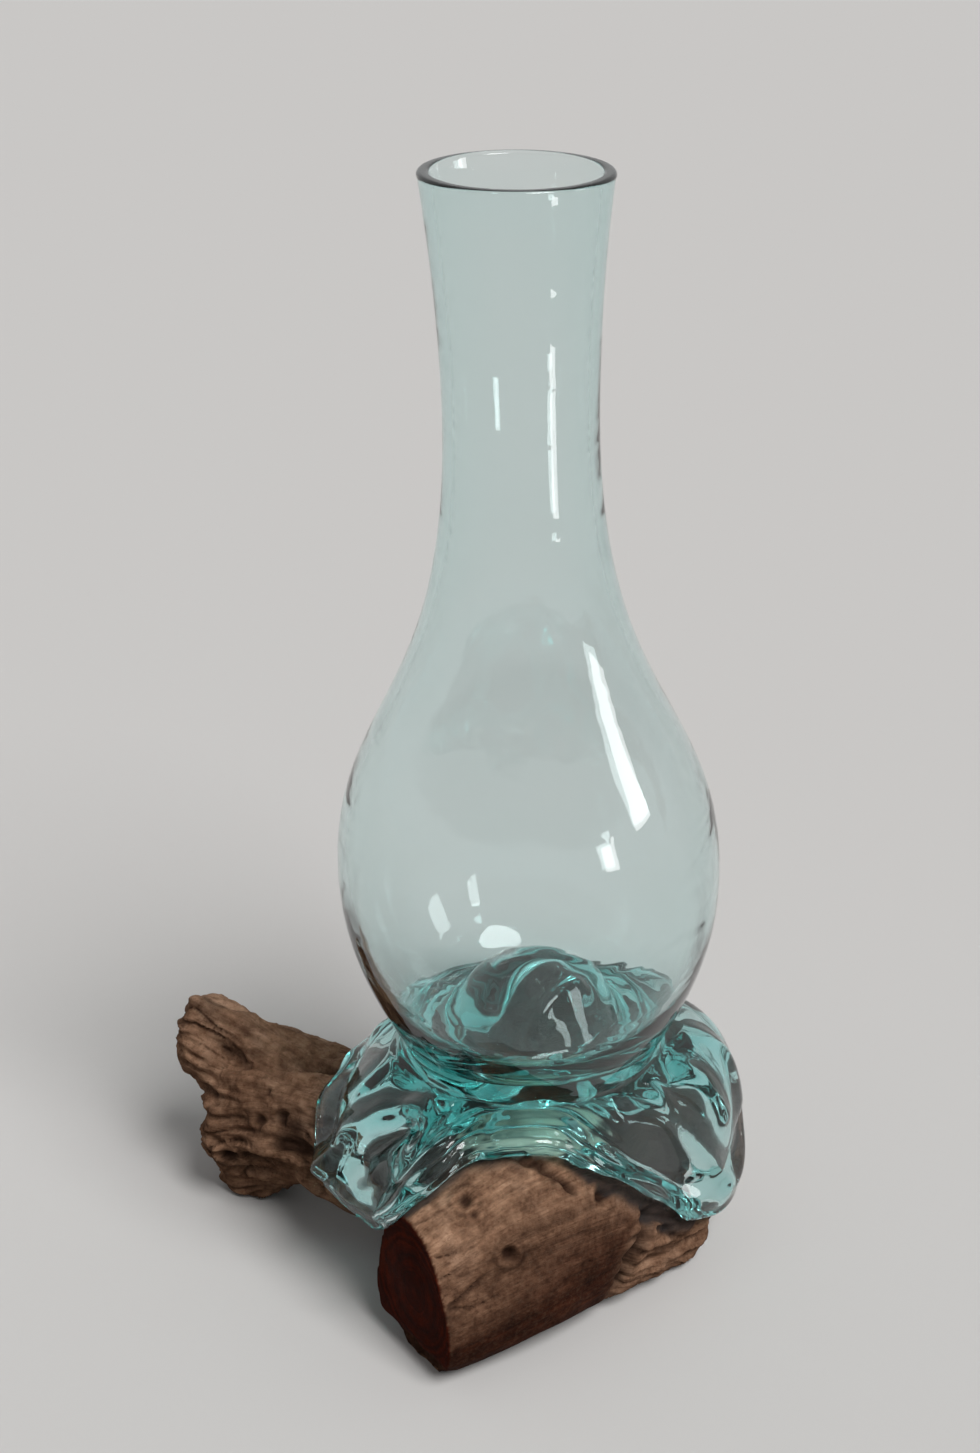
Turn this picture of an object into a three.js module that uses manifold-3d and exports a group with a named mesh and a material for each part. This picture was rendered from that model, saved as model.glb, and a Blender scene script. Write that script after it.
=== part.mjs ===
// A mouth-blown recycled glass vase whose molten foot has slumped over a piece of tree root.
// Two pieces: the root, sawn flat to stand on, and the vase, which lifts straight up off it.
// Millimetres, +Z up. The vase stands over the origin and the front of the object faces -Y.
import * as THREE from "three";
import { mergeVertices } from "three/addons/utils/BufferGeometryUtils.js";
import Module from "manifold-3d";

const wasm = await Module();
wasm.setup();

// Root: heights above the table, widths across each limb
const crestHeight = 56; // top of the wood that the foot lies over
const crownHalfWidth = 21; // the mass where the limbs meet
const stumpRise = 30; // stump of an upright root, which pushes up into the bulb, above the crest
const stumpMiddle = [4, 8]; // right of the vase's axis, and behind it
const stumpWidth = 14; // half-width where the stump has lost two thirds of its rise
const stumpDepth = 12; // the same, from front to back
const stumpFlare = 1.6; // where its flared base ends, as a multiple of these
const stumpBase = 36; // height of its hidden base inside the crown
const logHalfWidth = 20;
const sawnFaceHeight = 43; // top of the log at its sawn end
const burlHalfWidth = 18;
const burlTop = 50; // top of the craggy end of the left limb
const burlReach = 78; // how far left of the vase the burl's middle lies
const hornTop = 60; // knob that stands up at the burl's outer end
const hornHalfWidth = 9;
const burlLift = 11; // daylight under the left limb between the crown and the burl
const backLimbHalfWidth = 16;
const backLimbTop = 50;
const backLimbReach = 49; // how far right of the vase the back limb's middle lies
const spurTop = 25; // rounded end of the log at the right
const sawCut = 3; // wood taken off flat along the underside
const ridgeDepth = 0.055; // ridges along the grain, as a share of a limb's half-width
const gnarlDepth = 0.075; // furrows of the craggy burl, as a share of its half-width
const gnarls = 7; // of these furrows round the burl
const endRounding = 0.55; // depth of a limb's rounded end, as a share of its half-width

// Vase: outside sizes
const vaseHeight = 300;
const rimRadius = 22.6;
const neckRadius = 18.5;
const neckHeight = 242; // where the neck is narrowest
const bulbRadius = 48.2;
const bulbHeight = 125; // where the bulb is widest
const collarRadius = 31; // crease where the bulb meets its slumped foot
const collarRise = 17; // collar above the wood's crest
const leanDegrees = 1.26; // the vase leans a little to the left
const shoulderHandle = 42; // roundness of the bulb's shoulder
const neckHandle = 71; // how slowly the shoulder runs out into the neck
const bellyHandle = 20; // roundness of the bulb below its widest line
const bellyFullness = 0.58; // how far out the belly still is a third of the way up from the collar
const footFullness = 0.75; // how far down a square lobe of the foot keeps its full reach
const coreOutside = 0.28; // share of the way from collar to lip where the thick core ends
const sheetInside = 0.6; // share of the way from collar to lip where the thin sheet starts

// Vase: inside sizes
const rimWall = 3;
const bulbWall = 2.4;
const troughWall = 6.5; // glass beside the lowest ring of the inside
const troughRise = 7; // lowest ring of the inside above the collar
const humpRise = 17; // top of the floor above that ring, pushed up by the stump
const humpWidth = 0.8; // where the hump is steepest, as a share of the trough's radius
const humpShift = 4; // middle of the hump to the right of the vase's axis, and as far back
const lipThickness = 6.2; // rounded lower edge of the foot
const sheetThickness = 6.6; // lobes of the foot, where they hang beside the wood
const coreThickness = 11; // foot beside the collar
const bellyOfFoot = 3; // underside of the foot below the wood's crest, before it meets the wood
const seatClearance = 0.35; // cooled glass to wood, all over the seat

// Steps of the meshes
const bearings = 60; // points round the vase
const sectionPoints = 30; // points round a limb
const limbSteps = 15; // sections along a limb
const capSteps = 3; // sections of a rounded limb end
const stumpSteps = 12; // rings from the stump's base to its top
const capTurn = 78; // degrees the rounded end turns through before it is closed

const radians = THREE.MathUtils.degToRad;
const mix = THREE.MathUtils.lerp;

// A solid from a three.js geometry whose surface closes on itself
function solidOf(geometry) {
  geometry.deleteAttribute("normal");
  geometry.deleteAttribute("uv");
  const merged = mergeVertices(geometry, 1e-5);
  return new wasm.Manifold(
    new wasm.Mesh({
      numProp: 3,
      vertProperties: Float32Array.from(merged.attributes.position.array),
      triVerts: Uint32Array.from(merged.index.array),
    })
  );
}

// Rings of equal length joined side to side, and closed at both ends on a middle point
function loft(rings) {
  const count = rings[0].length;
  const points = rings.flat();
  const middleOf = (ring) =>
    ring.reduce((sum, point) => sum.add(point), new THREE.Vector3()).divideScalar(count);
  const firstPole = points.push(middleOf(rings[0])) - 1;
  const lastPole = points.push(middleOf(rings.at(-1))) - 1;
  const faces = [];
  for (let i = 0; i < count; i++) {
    const next = (i + 1) % count;
    faces.push(firstPole, next, i);
    const last = (rings.length - 1) * count;
    faces.push(lastPole, last + i, last + next);
    for (let k = 0; k + 1 < rings.length; k++) {
      const low = k * count;
      const high = low + count;
      faces.push(low + i, low + next, high + next);
      faces.push(low + i, high + next, high + i);
    }
  }
  const geometry = new THREE.BufferGeometry().setFromPoints(points);
  geometry.setIndex(faces);
  return geometry;
}

// Root
// A limb has a list of stations: x, y, half-width, top and underside. The stations are joined by a
// smooth spine, and each section stands upright across it.
function stationAt(stations, along) {
  const last = stations.length - 1;
  const place = THREE.MathUtils.clamp(along, 0, 1) * last;
  const k = Math.min(Math.floor(place), last - 1);
  const blend = place - k;
  const pick = (i) => stations[THREE.MathUtils.clamp(i, 0, last)];
  return stations[0].map((_, n) => {
    const [a, b, c, d] = [pick(k - 1)[n], pick(k)[n], pick(k + 1)[n], pick(k + 2)[n]];
    const pull = (2 * a - 5 * b + 4 * c - d) * blend ** 2 + (3 * b - a - 3 * c + d) * blend ** 3;
    return b + 0.5 * ((c - a) * blend + pull);
  });
}

// Sections along a limb, each with its place, the way across it and its shrinkage in a rounded end
function sectionsOf({ stations, sawnStart = false }, grow) {
  const sections = [];
  for (let k = 0; k <= limbSteps; k++) {
    const along = k / limbSteps;
    const station = stationAt(stations, along);
    const ahead = stationAt(stations, along + 0.01);
    const behind = stationAt(stations, along - 0.01);
    const forward = new THREE.Vector2(ahead[0] - behind[0], ahead[1] - behind[1]).normalize();
    sections.push({ station, along, forward, shrink: 1 });
  }
  const addEnd = (section, sense, rounded, put) => {
    const [x, y, halfWidth] = section.station;
    const depth = rounded ? endRounding * halfWidth + grow : grow;
    const steps = rounded ? capSteps : 1;
    for (let k = 1; k <= steps && depth > 0; k++) {
      const turn = rounded ? (k / steps) * radians(capTurn) : 0;
      const shift = sense * depth * (rounded ? Math.sin(turn) : 1);
      const station = [...section.station];
      station[0] = x + section.forward.x * shift;
      station[1] = y + section.forward.y * shift;
      put({ ...section, station, shrink: Math.cos(turn) });
    }
  };
  addEnd(sections[0], -1, !sawnStart, (section) => sections.unshift(section));
  addEnd(sections.at(-1), 1, true, (section) => sections.push(section));
  return sections;
}

// Ridges that run with the grain and wander round the limb, deeper and with furrows on a craggy one
function ridge(angle, along, { seed, craggy = 1, gnarled = false }) {
  const wander = 1.6 * along + seed;
  const broad = Math.cos(3 * angle + wander) + 0.6 * Math.cos(5 * angle - 2.3 * wander);
  const swell = 0.7 * Math.sin(7.5 * along + seed * 2) * Math.cos(2 * angle + seed);
  const furrow = gnarled ? Math.abs(Math.cos((gnarls * angle + 4 * wander) / 2)) - 0.6 : 0;
  return 1 + ridgeDepth * craggy * (broad + swell) + gnarlDepth * 2 * furrow;
}

function placed(section, across, height) {
  const [x, y] = section.station;
  return new THREE.Vector3(x - section.forward.y * across, y + section.forward.x * across, height);
}

function limbSolid(limb) {
  const rings = sectionsOf(limb, 0).map((section) => {
    const [, , halfWidth, top, under] = section.station;
    const ring = [];
    for (let i = 0; i < sectionPoints; i++) {
      const angle = (i / sectionPoints) * 2 * Math.PI;
      const size = ridge(angle, section.along, limb) * section.shrink;
      const across = halfWidth * size * Math.cos(angle);
      const height = (top + under) / 2 + ((top - under) / 2) * size * Math.sin(angle);
      ring.push(placed(section, across, height));
    }
    return ring;
  });
  return solidOf(loft(rings));
}

// The same limb grown by the seat clearance, with everything below it filled in down to under the
// table, so that what is cut with it can lift straight off
function limbSeat(limb) {
  const half = sectionPoints / 2;
  const rings = sectionsOf(limb, seatClearance).map((section) => {
    const [, , halfWidth, top, under] = section.station;
    const upper = [];
    for (let i = 0; i <= half; i++) {
      const angle = (i / half) * Math.PI;
      const size = ridge(angle, section.along, limb) * section.shrink;
      const across = (halfWidth * size + seatClearance) * Math.cos(angle);
      const rise = ((top - under) / 2) * size * Math.sin(angle);
      upper.push([across, (top + under) / 2 + rise + seatClearance]);
    }
    const crown = Math.round(half / 2);
    for (let i = crown - 1; i >= 0; i--) upper[i][0] = Math.max(upper[i][0], upper[i + 1][0]);
    for (let i = crown + 1; i <= half; i++) upper[i][0] = Math.min(upper[i][0], upper[i - 1][0]);
    const outline = [[upper[0][0], -sawCut], ...upper, [upper[half][0], -sawCut]];
    return outline.map(([across, height]) => placed(section, across, height));
  });
  return solidOf(loft(rings));
}

const under = -sawCut;
const rootLimbs = [
  // crown: the mass under the vase
  {
    seed: 0.4,
    stations: [
      [-27, 6, crownHalfWidth - 3, crestHeight - 6, under],
      [-12, 2, crownHalfWidth, crestHeight - 1, under],
      [4, 3, crownHalfWidth, crestHeight, under],
      [20, 11, crownHalfWidth - 2, crestHeight - 3, under],
    ],
  },
  // front log, sawn across at its left end and rounded off at the right
  {
    seed: 2.1,
    sawnStart: true,
    stations: [
      [-31, -39.5, logHalfWidth - 3.5, sawnFaceHeight, under],
      [-17, -30, logHalfWidth - 1, mix(sawnFaceHeight, crestHeight, 0.55), under],
      [-1, -20, logHalfWidth, crestHeight, under],
      [17, -4, logHalfWidth - 1, crestHeight - 9, under],
      [33, 8, logHalfWidth - 6, spurTop + 6, under],
      [40, 12, logHalfWidth - 9, spurTop, under],
    ],
  },
  // left limb, arched clear of the table and ending in a craggy burl that stands on it
  {
    seed: 3.7,
    craggy: 1.5,
    gnarled: true,
    stations: [
      [-22, 8, crownHalfWidth - 2, crestHeight - 4, under],
      [-44, 19, burlHalfWidth, crestHeight - 4, burlLift],
      [-62, 32, burlHalfWidth, burlTop - 2, burlLift],
      [-burlReach, 43, burlHalfWidth, burlTop - 2, under],
    ],
  },
  // horn: the knob that stands up and outwards from the burl
  {
    seed: 1.3,
    craggy: 1.5,
    gnarled: true,
    stations: [
      [-burlReach + 16, 34, hornHalfWidth + 3, burlTop - 2, burlTop - 30],
      [-burlReach, 41, hornHalfWidth + 1, mix(burlTop, hornTop, 0.45), burlTop - 25],
      [-burlReach - 14, 45, hornHalfWidth, hornTop, burlTop - 17],
    ],
  },
  // back limb at the right, with a foot on the table
  {
    seed: 5.2,
    stations: [
      [10, 10, backLimbHalfWidth + 3, crestHeight - 3, under],
      [28, 20, backLimbHalfWidth + 1, crestHeight + 1, under],
      [42, 27, backLimbHalfWidth - 1, crestHeight - 2, under],
      [backLimbReach, 31, backLimbHalfWidth - 3, backLimbTop, under + 6],
    ],
  },
];

// What is left of an upright root, seen through the floor of the bulb: a stump with a flared base
function stumpSolid(grow, baseHeight) {
  const rings = [];
  for (let k = 0; k <= stumpSteps; k++) {
    const size = stumpFlare * (1 - (0.95 * k) / stumpSteps);
    const height = crestHeight + stumpRise * Math.exp(-(size ** 2)) + grow;
    const ring = [];
    for (let i = 0; i < sectionPoints; i++) {
      const angle = (i / sectionPoints) * 2 * Math.PI;
      const wave = size * ridge(angle, 0.3 * size, { seed: 4.4 });
      const x = stumpMiddle[0] + (stumpWidth * wave + grow) * Math.cos(angle);
      const y = stumpMiddle[1] + (stumpDepth * wave + grow) * Math.sin(angle);
      ring.push(new THREE.Vector3(x, y, height));
    }
    rings.push(ring);
  }
  rings.unshift(rings[0].map(({ x, y }) => new THREE.Vector3(x, y, baseHeight)));
  return solidOf(loft(rings));
}

const tableCut = new THREE.BoxGeometry(400, 400, 40).translate(0, 0, -20);
const rootSolid = rootLimbs
  .map(limbSolid)
  .reduce((sum, solid) => sum.add(solid))
  .add(stumpSolid(0, stumpBase))
  .subtract(solidOf(tableCut));
const seatSolid = rootLimbs
  .map(limbSeat)
  .reduce((sum, solid) => sum.add(solid))
  .add(stumpSolid(seatClearance, under));

// Vase
const collarHeight = crestHeight + collarRise;
const troughHeight = collarHeight + troughRise;
const troughRadius = collarRadius - troughWall;

function vaseRing(radiusAt, heightAt) {
  const ring = [];
  for (let i = 0; i < bearings; i++) {
    const bearing = (i / bearings) * 2 * Math.PI;
    const radius = radiusAt(bearing);
    const height = heightAt(bearing);
    const lean = -Math.tan(radians(leanDegrees)) * Math.max(0, height - collarHeight);
    const point = new THREE.Vector3(Math.cos(bearing), Math.sin(bearing), 0);
    ring.push(point.multiplyScalar(radius).add(new THREE.Vector3(lean, 0, height)));
  }
  return ring;
}

const at = (radius, height) => new THREE.Vector2(radius, height);
const bezier = (...handles) => new THREE.CubicBezierCurve(...handles);
const roundRings = (curve, steps) =>
  curve
    .getPoints(steps)
    .slice(1)
    .map((point) => vaseRing(() => point.x, () => point.y));

// Outside, from the rim down to the collar
const rimOutside = at(rimRadius, vaseHeight);
const flare = new THREE.QuadraticBezierCurve(
  rimOutside,
  at(neckRadius, (neckHeight + vaseHeight) / 2),
  at(neckRadius, neckHeight)
);
const shoulder = bezier(
  at(neckRadius, neckHeight),
  at(neckRadius, neckHeight - neckHandle),
  at(bulbRadius, bulbHeight + shoulderHandle),
  at(bulbRadius, bulbHeight)
);
const belly = bezier(
  at(bulbRadius, bulbHeight),
  at(bulbRadius, bulbHeight - bellyHandle),
  at(mix(collarRadius, bulbRadius, bellyFullness), mix(collarHeight, bulbHeight, 1 / 3)),
  at(collarRadius, collarHeight)
);

// Inside, from the raised floor up to the rim
const hump = bezier(
  at(0, troughHeight + humpRise),
  at(troughRadius * humpWidth, troughHeight + humpRise),
  at(troughRadius * humpWidth, troughHeight),
  at(troughRadius, troughHeight)
);
const humpRings = hump.getPoints(6).slice(1).map((point) => {
  const shift = humpShift * (1 - point.x / troughRadius);
  return vaseRing(() => point.x, () => point.y).map((place) => place.add(new THREE.Vector3(shift, shift, 0)));
});
const innerBelly = bezier(
  at(troughRadius, troughHeight),
  at(mix(troughRadius, bulbRadius, 0.3), troughHeight),
  at(bulbRadius - bulbWall, bulbHeight - bellyHandle),
  at(bulbRadius - bulbWall, bulbHeight)
);
const innerShoulder = bezier(
  at(bulbRadius - bulbWall, bulbHeight),
  at(bulbRadius - bulbWall, bulbHeight + shoulderHandle),
  at(neckRadius - rimWall, neckHeight - neckHandle),
  at(neckRadius - rimWall, neckHeight)
);
const innerFlare = new THREE.QuadraticBezierCurve(
  at(neckRadius - rimWall, neckHeight),
  at(neckRadius - rimWall, (neckHeight + vaseHeight) / 2),
  at(rimRadius - rimWall, vaseHeight)
);

// Lower edge of the foot: bearing in degrees from +X, reach from the axis, height against the wood's
// crest, and how squarely the foot stands out before it falls
const lipStations = [
  [0, 52, -35, 0.75],
  [12, 59, -33, 0.8],
  [24, 61, -22, 0.82],
  [36, 58, -5, 0.82],
  [54, 51, -14, 0.75],
  [78, 44, -26, 0.6],
  [102, 43, -22, 0.6],
  [126, 46, -12, 0.6],
  [144, 50, -3, 0.5],
  [160, 53, -8, 0.45],
  [174, 56, -18, 0.45],
  [187, 55, -22, 0.5],
  [200, 50, -24, 0.5],
  [212, 46, -25, 0.5],
  [222, 50, -18, 0.5],
  [230, 49, -9, 0.5],
  [238, 37, -1, 0.5],
  [250, 32, 1, 0.5],
  [268, 30, 2, 0.5],
  [286, 30, 0, 0.5],
  [306, 31, -10, 0.5],
  [328, 35, -23, 0.6],
  [344, 41, -32, 0.7],
];

function lipAt(bearing) {
  const degrees = THREE.MathUtils.euclideanModulo(THREE.MathUtils.radToDeg(bearing), 360);
  const count = lipStations.length;
  let k = lipStations.findLastIndex(([start]) => start <= degrees);
  const turnOf = (i) => Math.floor(i / count) * 360;
  const station = (i) => lipStations[THREE.MathUtils.euclideanModulo(i, count)];
  const startOf = (i) => station(i)[0] + turnOf(i);
  const slope = (i, n) => (station(i + 1)[n] - station(i - 1)[n]) / (startOf(i + 1) - startOf(i - 1));
  const span = startOf(k + 1) - startOf(k);
  const blend = (degrees - startOf(k)) / span;
  const ease = blend * blend * (3 - 2 * blend);
  const leaving = span * blend * (1 - blend) ** 2;
  const arriving = span * blend ** 2 * (blend - 1);
  const value = (n) =>
    mix(station(k)[n], station(k + 1)[n], ease) + leaving * slope(k, n) + arriving * slope(k + 1, n);
  return { reach: value(1), height: crestHeight + value(2), square: value(3) };
}

// Large folds of the slumped glass: the line that each follows down the foot, how wide and how high
const folds = [
  { width: 4.5, rise: 2.6, line: [[-28.6, -24.5, 68.9], [-37.9, -16.9, 61.9], [-47.4, -10.9, 52.4]] },
  { width: 4.5, rise: -3, line: [[-30.6, -27.5, 64], [-37.9, -20.5, 56], [-45.2, -16.5, 47]] },
  { width: 4, rise: 1.8, line: [[30, -16.5, 71], [37.4, -10.8, 57.5], [52.2, 0.8, 28.8]] },
  { width: 6, rise: -2.2, line: [[30, -20, 60], [38, -13, 48], [42, -11, 40]] },
];

function foldRise(place) {
  const nearest = new THREE.Vector3();
  return folds.reduce((sum, { width, rise, line }) => {
    const corners = line.map((corner) => new THREE.Vector3(...corner));
    const distances = corners.slice(1).map((corner, k) => {
      new THREE.Line3(corners[k], corner).closestPointToPoint(place, true, nearest);
      return nearest.distanceTo(place);
    });
    return sum + rise * Math.exp(-((Math.min(...distances) / width) ** 2));
  }, 0);
}

// Outside of the foot: from the collar out over the root and down to the lip
function footCurve(bearing) {
  const lip = lipAt(bearing);
  const drop = collarHeight - lip.height;
  return bezier(
    at(collarRadius, collarHeight),
    at(mix(collarRadius, lip.reach, lip.square), collarHeight),
    at(lip.reach, lip.height + drop * lip.square * footFullness),
    at(lip.reach, lip.height)
  );
}

function footOutside(bearing, along) {
  const curve = footCurve(bearing);
  const point = curve.getPoint(along);
  const tangent = curve.getTangent(along);
  const place = new THREE.Vector3(point.x * Math.cos(bearing), point.x * Math.sin(bearing), point.y);
  const fade = THREE.MathUtils.smoothstep(along, 0.14, 0.34);
  return point.addScaledVector(at(-tangent.y, tangent.x), fade * foldRise(place));
}

// Underside of the foot's lobes: the outside moved in by a thickness that grows towards the collar
function footUnderside(bearing, along) {
  const curve = footCurve(bearing);
  const tangent = curve.getTangent(along);
  const inwards = at(tangent.y, -tangent.x);
  const thickness =
    along < sheetInside
      ? mix(sheetThickness, coreThickness, (sheetInside - along) / (sheetInside - coreOutside))
      : mix(sheetThickness, lipThickness, (along - sheetInside) / (1 - sheetInside));
  return curve.getPoint(along).addScaledVector(inwards, thickness);
}

// Underside inside the lobes: on to the middle, where the root takes its place
function footMiddle(bearing, along) {
  const edge = footUnderside(bearing, coreOutside);
  const middle = crestHeight - bellyOfFoot;
  const curve = new THREE.QuadraticBezierCurve(edge, at(edge.x * 0.6, middle), at(0, middle));
  return curve.getPoint(along);
}

const footRing = (curveAt, along) =>
  vaseRing(
    (bearing) => curveAt(bearing, along).x,
    (bearing) => curveAt(bearing, along).y
  );
const lipRing = vaseRing(
  (bearing) => lipAt(bearing).reach - lipThickness / 2,
  (bearing) => lipAt(bearing).height - lipThickness / 3
);

// The crease where the foot leaves the bulb is melted round
function collarRing() {
  const above = belly.getPoint(0.9);
  const radiusAt = (bearing) => (above.x + 2 * collarRadius + footOutside(bearing, 0.14).x) / 4;
  const heightAt = (bearing) => (above.y + 2 * collarHeight + footOutside(bearing, 0.14).y) / 4;
  return vaseRing(radiusAt, heightAt);
}

const vaseRings = [
  ...humpRings,
  ...roundRings(innerBelly, 6),
  ...roundRings(innerShoulder, 7),
  ...roundRings(innerFlare, 3),
  vaseRing(() => rimRadius, () => vaseHeight),
  ...roundRings(flare, 3),
  ...roundRings(shoulder, 8),
  ...roundRings(belly, 7).slice(0, -1),
  collarRing(),
  ...[0.16, 0.28, 0.4, 0.52, 0.64, 0.76, 0.88, 1].map((along) => footRing(footOutside, along)),
  lipRing,
  ...[1, 0.86, 0.7, 0.5, coreOutside].map((along) => footRing(footUnderside, along)),
  ...[0.35, 0.7].map((along) => footRing(footMiddle, along)),
];
const vaseSolid = solidOf(loft(vaseRings.reverse())).subtract(seatSolid);

// Named meshes
function meshOf(solid, name, material) {
  const { vertProperties, triVerts } = solid.getMesh();
  const geometry = new THREE.BufferGeometry();
  geometry.setAttribute("position", new THREE.BufferAttribute(Float32Array.from(vertProperties), 3));
  geometry.setIndex(new THREE.BufferAttribute(Uint32Array.from(triVerts), 1));
  geometry.computeVertexNormals();
  const mesh = new THREE.Mesh(geometry, material);
  mesh.name = name;
  return mesh;
}

const rootWood = new THREE.MeshStandardMaterial({ color: 0x6e5546, roughness: 0.85, metalness: 0 });
const recycledGlass = new THREE.MeshStandardMaterial({
  color: 0x8fb8b0,
  roughness: 0.06,
  metalness: 0,
  transparent: true,
  opacity: 0.45,
});

const object = new THREE.Group();
object.add(meshOf(rootSolid, "root", rootWood));
object.add(meshOf(vaseSolid, "vase", recycledGlass));

export default object;
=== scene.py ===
import math

import bmesh
import bpy
import numpy as np
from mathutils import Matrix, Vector, noise
from mathutils.bvhtree import BVHTree


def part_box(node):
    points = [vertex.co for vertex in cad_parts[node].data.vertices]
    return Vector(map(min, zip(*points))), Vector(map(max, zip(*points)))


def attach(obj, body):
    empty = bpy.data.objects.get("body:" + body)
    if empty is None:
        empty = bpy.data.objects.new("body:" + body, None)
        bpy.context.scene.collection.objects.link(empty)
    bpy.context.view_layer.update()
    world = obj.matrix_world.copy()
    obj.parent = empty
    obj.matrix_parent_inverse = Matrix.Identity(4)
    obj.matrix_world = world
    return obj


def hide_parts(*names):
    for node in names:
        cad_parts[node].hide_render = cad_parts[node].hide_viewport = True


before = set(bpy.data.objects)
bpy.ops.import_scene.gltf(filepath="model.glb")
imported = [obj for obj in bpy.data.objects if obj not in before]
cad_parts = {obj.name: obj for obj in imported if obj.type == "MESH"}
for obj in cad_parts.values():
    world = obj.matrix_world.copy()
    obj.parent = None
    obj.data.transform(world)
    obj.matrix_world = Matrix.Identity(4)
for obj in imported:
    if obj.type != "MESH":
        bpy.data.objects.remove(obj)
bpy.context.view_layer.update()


# Root
# One grown piece of weathered tree root, brushed clean and left without varnish. It is sawn across at
# the front left and sawn flat below, and nothing is fixed to it: the vase only rests on it.
root_voxel = 0.00074
smoothing_rounds, smoothing_share = 12, 0.55
sawn_centre = np.array((-0.031, -0.0395, 0.020))
sawn_facing = np.array(Vector((-0.828, -0.561, 0.0)).normalized())
sawn_reach = 0.026  # how far from its middle the sawn face goes
flat_reach = 0.0007  # how close to a sawn plane a point belongs to it
flat_fade = 0.0025  # within this of a sawn plane the grain fades away
limb_steps = 90
limb_blend, faint = 9, 0.01  # how fast a limb's grain gives way to the next one's, and where it ends

# Each limb has a seed, how craggy it is, and stations: x, y, half-width, top and underside
root_limbs = {
    "crown": (1, 0.0, [(-0.027, 0.006, 0.018, 0.050, 0), (-0.012, 0.002, 0.021, 0.055, 0),
                       (0.004, 0.003, 0.021, 0.056, 0), (0.020, 0.011, 0.019, 0.053, 0)]),
    "stump": (6, 0.3, [(-0.006, 0.008, 0.012, 0.080, 0.036), (0.004, 0.008, 0.014, 0.086, 0.036),
                       (0.014, 0.008, 0.012, 0.080, 0.036)]),
    "front log": (2, 0.0, [(-0.031, -0.0395, 0.0165, 0.043, 0), (-0.017, -0.030, 0.019, 0.050, 0),
                           (-0.001, -0.020, 0.020, 0.056, 0), (0.017, -0.004, 0.019, 0.047, 0),
                           (0.033, 0.008, 0.014, 0.031, 0), (0.040, 0.012, 0.011, 0.025, 0)]),
    "spur": (7, 0.9, [(0.026, -0.012, 0.012, 0.038, 0), (0.034, -0.003, 0.0125, 0.031, 0),
                      (0.041, 0.006, 0.011, 0.026, 0)]),
    "left limb": (3, 1.0, [(-0.022, 0.008, 0.019, 0.052, 0), (-0.044, 0.019, 0.018, 0.052, 0.011),
                           (-0.062, 0.032, 0.018, 0.048, 0.011), (-0.078, 0.043, 0.018, 0.048, 0)]),
    "horn": (4, 1.0, [(-0.062, 0.034, 0.012, 0.048, 0.020), (-0.078, 0.041, 0.010, 0.0545, 0.025),
                      (-0.092, 0.045, 0.009, 0.060, 0.033)]),
    "back limb": (5, 0.3, [(0.010, 0.010, 0.019, 0.053, 0), (0.028, 0.020, 0.017, 0.057, 0),
                           (0.042, 0.027, 0.015, 0.054, 0), (0.049, 0.031, 0.013, 0.050, 0)]),
}

# Dents and knots on the wood: place, radius, depth of the middle and height of the ring around it. The
# ring and the dark line outside it have their places and widths in radii.
knot_ring, knot_ring_width = 1.7, 0.6
knot_line, knot_line_width, knot_line_dark = 2.3, 0.35, 0.3
root_knots = [
    ((-0.0062, -0.0424, 0.0362), 0.0017, 0.0024, 0.0009),
    ((0.0176, -0.0254, 0.0422), 0.0022, 0.0020, 0.0002),
    ((-0.0172, -0.0350, 0.0470), 0.0018, 0.0014, 0.0003),
    ((-0.0148, -0.0376, 0.0440), 0.0013, 0.0010, 0.0001),
    ((-0.0740, 0.0190, 0.0356), 0.0020, 0.0022, 0.0004),
    ((-0.0834, 0.0256, 0.0200), 0.0026, 0.0024, 0.0005),
    ((0.0620, 0.0300, 0.0260), 0.0030, 0.0015, 0.0005),
    ((0.0100, 0.0350, 0.0300), 0.0036, 0.0026, 0.0010),
    ((-0.0400, 0.0400, 0.0330), 0.0030, 0.0020, 0.0006),
]

# Drying cracks: the line each one follows, its half-width and its depth
crack_raggedness = 0.0012
root_cracks = [
    ([(-0.0080, -0.0240, 0.0560), (-0.0007, -0.0262, 0.0535), (0.0039, -0.0280, 0.0510),
      (0.0100, -0.0300, 0.0460)], 0.0010, 0.0026),
    ([(0.0290, -0.0170, 0.0300), (0.0266, -0.0210, 0.0200), (0.0236, -0.0226, 0.0110),
      (0.0216, -0.0230, 0.0020)], 0.0024, 0.0042),
    ([(0.0330, -0.0120, 0.0240), (0.0390, -0.0080, 0.0180), (0.0440, -0.0040, 0.0130)], 0.0012, 0.0020),
    ([(0.0010, -0.0400, 0.0240), (0.0110, -0.0340, 0.0220), (0.0190, -0.0280, 0.0200)], 0.0005, 0.0008),
    ([(0.0060, -0.0320, 0.0440), (0.0176, -0.0254, 0.0422), (0.0240, -0.0200, 0.0400)], 0.0007, 0.0016),
]

# Relief that runs with the grain: its size along and across a limb, its height or depth, and how dark its
# hollows are painted, which is painted shade
wander_size, wander_reach = (0.034, 0.015), 0.004
swell_size, swell_height = (0.040, 0.016), 0.0013
furrow_size, furrow_height, furrow_dark = (0.024, 0.0030), 0.00032, 0.35
crack_size, crack_depth, crack_dark = (0.050, 0.0060), 0.0015, 0.9
open_size = (0.024, 0.014)  # the stretches of a crack that have opened
fold_size, fold_height, fold_dark = (0.022, 0.0062), 0.0018, 1.3
small_fold_size, small_fold_height, small_fold_dark = (0.011, 0.0030), 0.0013, 0.9
pit_size, pit_depth, pit_dark = (0.005, 0.0030), 0.0026, 1.2
craggy_sink = 0.0008  # keeps a craggy limb as thick as it was before its folds

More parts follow.
